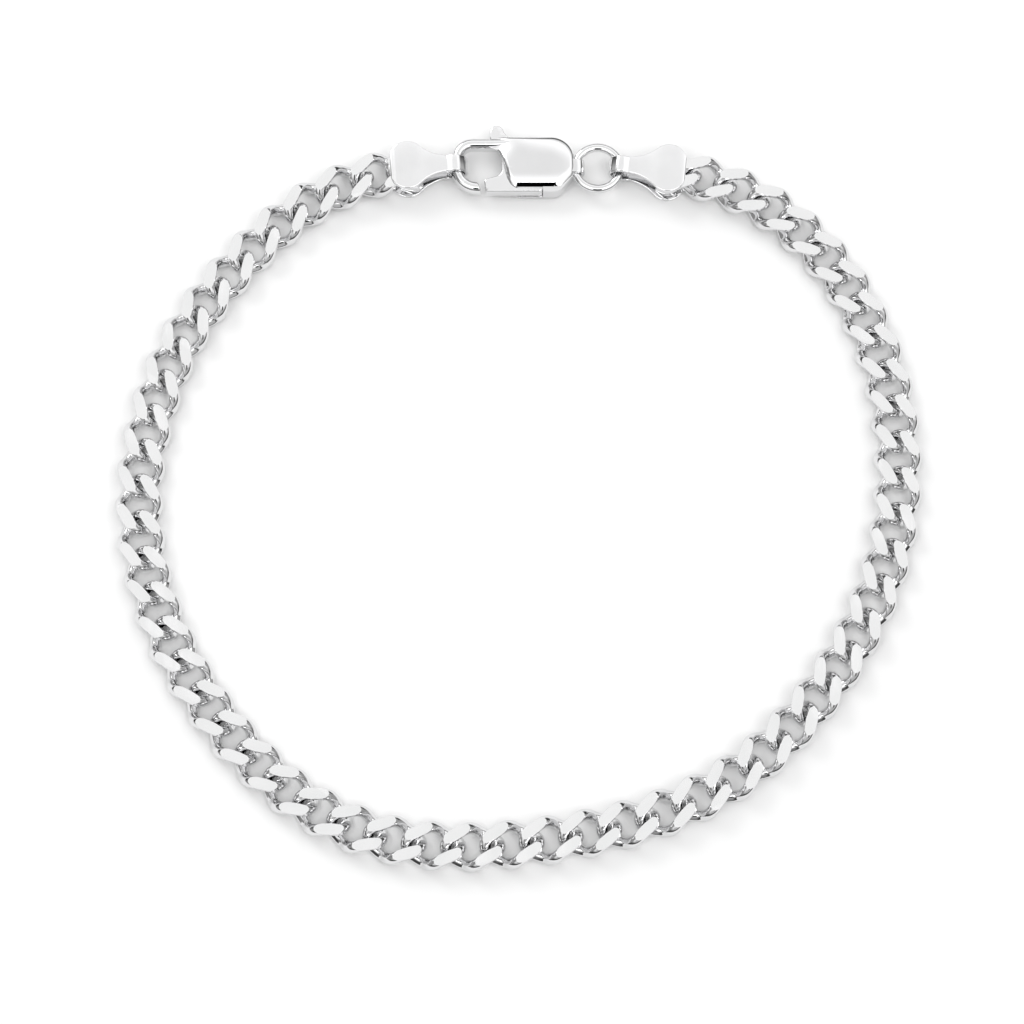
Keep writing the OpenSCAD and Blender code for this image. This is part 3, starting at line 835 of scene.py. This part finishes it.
def build_clasp_body():
    """Hook, domed upper shell, lower shell, the solid end between them and the loop for the ring."""
    slot_t = LEVER_T + 2 * LEVER_GAP
    slot_low = (CLASP_T - slot_t) / 2
    slot_high = slot_low + slot_t
    outline, inset, drop = shell_outline()
    upper = slab(outline, slot_high, CLASP_T, inset, drop, 0.02, 0.02, grid=CLASP_GRID)
    upper[0][:, 2] -= shell_sink(upper[0])
    base = base_outline()
    lower = slab(base, 0.0, slot_low, 0.02, 0.02, LOWER_EASE, LOWER_EASE)
    core_line = clip_outline(base, lambda x, y: x > slot_end_x)
    core_line = np.array([(slot_end_x, -half_w), *core_line, (slot_end_x, half_w)])
    core = slab(core_line, slot_low - 0.02, slot_high + 0.02, 0.0, 0.0, 0.0, 0.0, rows=1)
    bar_line = resample([(slot_end_x - 0.68, half_w), (slot_end_x - 0.68, half_w - 0.5),
                         (slot_end_x + 0.3, half_w - 0.9), (slot_end_x + 0.6, half_w - 0.4),
                         (slot_end_x + 0.6, half_w)], 0.1)
    bar = slab(bar_line, slot_low - 0.02, slot_high + 0.02, 0.0, 0.0, 0.0, 0.0, rows=1)
    part = join_parts([hook_part(), upper, lower, core, bar, tail_part()])
    place = turned(0, CLASP_X, CLASP_Y)
    add_piece("clasp_body_cast", placed(part, place), "clasp_body", [clasp_silver])


def tail_part():
    """The strip at the body's end that is folded round the ring's wire."""
    inner_r = RING_WIRE_D / 2 + RING_GAP
    r = inner_r + TAIL_WALL / 2
    wire_x = ring_x - ring_r + 0.08
    start_x = body_end_x - 0.9
    line = [(start_x, r)] + [(wire_x + r * math.sin(a), r * math.cos(a))
                             for a in np.radians([0, 30, 60, 90, 120, 150, 180])] + [(start_x, -r)]
    p = np.array(line)
    along = np.concatenate([[0], np.cumsum(np.linalg.norm(np.diff(p, axis=0), axis=1))])
    fine = np.linspace(0, along[-1], 400)
    raw = np.stack([np.interp(fine, along, p[:, 0]), np.interp(fine, along, p[:, 1])], axis=1)
    for _ in range(60):
        raw[1:-1] = raw[1:-1] * 0.5 + (raw[:-2] + raw[2:]) * 0.25
    line = raw[::6]
    tangent = np.gradient(line, axis=0)
    tangent /= np.linalg.norm(tangent, axis=1, keepdims=True)
    path = [np.array([x, -TAIL_DROP, z + mid_z]) for x, z in line]
    frames = [(np.array([0, 1.0, 0]), np.array([-t[1], 0, t[0]])) for t in tangent]
    return swept(path, frames, lambda i: rounded_section(TAIL_W / 2, TAIL_WALL / 2, 0.08))


def build_lever():
    """Lever: gate, arm, eye and thumb tab in one flat piece with eased edges."""
    foot_y = -half_w + 0.06
    tab_x = gap_end_x - 0.3
    tab_foot_x = tab_x + TAB_W / 2 + 0.4
    tab_y = half_w + TAB_H - TAB_W / 2
    heel_x = slot_end_x - HEEL_GAP
    line = [(gate_x + 0.17, foot_y), (heel_x - 0.25, foot_y), (heel_x, foot_y + 0.16),
            (heel_x, pivot_y - 0.3)]
    line += [(gap_end_x + 1.5 * HOOK_W, half_w / 2), (tab_foot_x + 0.1, half_w),
             (tab_x + TAB_W / 2 + 0.16, half_w + 0.16 * TAB_H),
             (tab_x + TAB_W / 2, half_w + 0.36 * TAB_H)]
    line += arc((tab_x - 0.06, tab_y + 0.04), TAB_W / 2 - 0.06, 0, 180, 20)
    line += [(tab_x - TAB_W / 2, half_w), (gap_end_x + 0.05, 0.45 * half_w),
             (gap_end_x + 0.05, -0.23 * half_w), (gap_end_x - 0.08, -0.32 * half_w),
             (gap_end_x - 0.3 * HOOK_W, -0.39 * half_w), (gate_x + 0.35 * HOOK_W, -0.475 * half_w),
             (gate_x + 0.06, -0.52 * half_w), (gate_x, -0.58 * half_w)]
    outline = relaxed(resample(line, 0.045), 3)
    low = (CLASP_T - LEVER_T) / 2
    ease = np.where(outline[:, 0] > heel_x - 0.1, HEEL_EASE, LEVER_EASE)
    part = slab(outline, low, low + LEVER_T, ease, ease, 0.06, 0.06, rows=6, grid=LEVER_GRID)
    place = turned(0, CLASP_X, CLASP_Y)
    add_piece("clasp_lever_cast", placed(part, place), "clasp_lever",
              [lever_silver], body="lever")


def build_pin():
    """Pivot pin with a flat riveted head below and an eased end inside the shell."""
    r = PIN_D / 2
    profile = [(0.0, 0.03), (0.22, 0.03), (r - 0.02, 0.09), (r, 0.2), (r, PIN_TOP - 0.08),
               (r - 0.04, PIN_TOP), (0.0, PIN_TOP)]
    centre = np.array([CLASP_X + pivot_x, CLASP_Y + pivot_y])
    verts, faces = [], []
    for at, z in profile:
        ring = arc(centre, at, 0, 360 - 360 / PIN_STEPS, PIN_STEPS)
        verts += [(x, y, z) for x, y in ring]
    for i in range(len(profile) - 1):
        low, high = i * PIN_STEPS, (i + 1) * PIN_STEPS
        for k in range(PIN_STEPS):
            j = (k + 1) % PIN_STEPS
            faces.append([low + k, low + j, high + j, high + k])
    add_piece("pivot_pin_turned", merged(np.array(verts), faces), "pivot_pin", [pin_steel])


# Table, light and camera
def build_table():
    """White table top."""
    bpy.ops.mesh.primitive_plane_add(size=3.0, location=(0, 0, 0))
    table = bpy.context.object
    table.name = "table"
    m = bpy.data.materials.new("table_white")
    m.use_nodes = True
    shader = m.node_tree.nodes["Principled BSDF"]
    shader.inputs["Base Color"].default_value = (TABLE_TONE, TABLE_TONE, TABLE_TONE, 1)
    shader.inputs["Roughness"].default_value = 0.8
    shader.inputs["Specular IOR Level"].default_value = 0.1
    table.data.materials.append(m)


def build_sky():
    """White light tent: brightest high up, soft grey overhead, with a dark horizon, a dark card in
    front and a grey panel below it and on either side."""
    world = bpy.data.worlds.new("light_tent")
    bpy.context.scene.world = world
    world.use_nodes = True
    nodes, links = world.node_tree.nodes, world.node_tree.links
    back = nodes["Background"]
    way = nodes.new("ShaderNodeTexCoord")
    split = nodes.new("ShaderNodeSeparateXYZ")
    links.new(way.outputs["Generated"], split.inputs["Vector"])

    def band(value, start, end):
        node = nodes.new("ShaderNodeMapRange")
        node.interpolation_type = "SMOOTHSTEP"
        node.inputs["From Min"].default_value = start
        node.inputs["From Max"].default_value = end
        links.new(value, node.inputs["Value"])
        return node.outputs["Result"]

    def times(a, b):
        node = nodes.new("ShaderNodeMath")
        node.operation = "MULTIPLY"
        links.new(a, node.inputs[0])
        links.new(b, node.inputs[1])
        return node.outputs[0]

    def absolute(a):
        node = nodes.new("ShaderNodeMath")
        node.operation = "ABSOLUTE"
        links.new(a, node.inputs[0])
        return node.outputs[0]

    def mixed(fac, a, b):
        node = nodes.new("ShaderNodeMix")
        node.data_type = "FLOAT"
        links.new(fac, node.inputs["Factor"])
        for socket, value in ((node.inputs[2], a), (node.inputs[3], b)):
            if isinstance(value, float):
                socket.default_value = value
            else:
                links.new(value, socket)
        return node.outputs[0]

    x, y, z = split.outputs
    side = absolute(x)
    in_front = band(y, -0.02, -0.2)
    level = mixed(band(z, 0.16, 0.4), HORIZON_LEVEL, LOW_LEVEL)
    level = mixed(band(z, 0.4, 0.66), level, MIDDLE_LEVEL)
    level = mixed(band(z, 0.66, 0.84), level, HIGH_LEVEL)
    facing = nodes.new("ShaderNodeVectorMath")
    facing.operation = "DOT_PRODUCT"
    tilt = math.radians(90 - CAMERA_ELEVATION)
    facing.inputs[1].default_value = (0, math.sin(tilt), math.cos(tilt))
    links.new(way.outputs["Generated"], facing.inputs[0])
    around = band(facing.outputs["Value"], math.cos(math.radians(46)), math.cos(math.radians(34)))
    level = mixed(around, level, AROUND_LEVEL)
    overhead = band(facing.outputs["Value"], math.cos(math.radians(34)), math.cos(math.radians(5)))
    level = mixed(overhead, level, OVERHEAD_LEVEL)
    front_height = times(band(z, 0.18, 0.3), band(z, 0.52, 0.42))
    grey_front = times(times(in_front, band(side, 0.72, 0.5)), front_height)
    level = mixed(grey_front, level, FRONT_LEVEL)
    beside = band(absolute(y), 0.42, 0.22)
    left_card = times(times(beside, band(x, -0.4, -0.55)), band(z, 0.86, 0.7))
    level = mixed(left_card, level, LEFT_LEVEL)
    right_card = times(times(beside, band(x, 0.7, 0.85)), band(z, 0.55, 0.42))
    level = mixed(right_card, level, RIGHT_LEVEL)
    card_height = times(band(z, 0.36, 0.5), band(z, 0.872, 0.86))
    card = times(times(in_front, band(side, 0.22, 0.17)), card_height)
    level = mixed(card, level, CARD_LEVEL)
    links.new(level, back.inputs["Strength"])
    back.inputs["Color"].default_value = (1, 1, 1, 1)


def build_light():
    """Soft round lamp, up and to the left behind the bracelet."""
    lamp = bpy.data.lights.new("soft_key", "AREA")
    lamp.shape = "DISK"
    lamp.size = LAMP_SIZE
    lamp.energy = LAMP_POWER
    obj = bpy.data.objects.new("soft_key", lamp)
    obj.location = LAMP_PLACE
    obj.rotation_euler = (Vector((0, 0, 0)) - obj.location).to_track_quat("-Z", "Y").to_euler()
    bpy.context.collection.objects.link(obj)


def build_camera():
    """Long lens in front of the bracelet, looking down on it at the photograph's angle."""
    data = bpy.data.cameras.new("camera")
    data.lens = CAMERA_LENS
    data.sensor_width = 36
    data.clip_start = 0.01
    data.clip_end = 10
    camera = bpy.data.objects.new("camera", data)
    e = math.radians(CAMERA_ELEVATION)
    back = Vector((0, -math.cos(e), math.sin(e)))
    camera.location = (Vector(CAMERA_AIM) + back * CAMERA_DISTANCE) * MM
    camera.rotation_euler = (-back).to_track_quat("-Z", "Y").to_euler()
    bpy.context.collection.objects.link(camera)
    bpy.context.scene.camera = camera


build_camera()
build_chain()
build_cap("end_cap_left_sheet", "end_cap_left", turned(LEFT_CAP_TURN, *left_fold))
build_cap("end_cap_right_sheet", "end_cap_right", turned(180 - RIGHT_CAP_TURN, *right_fold))
build_ring()
build_clasp_body()
build_lever()
build_pin()
build_table()
build_sky()
build_light()
bpy.context.scene.view_settings.view_transform = "Standard"
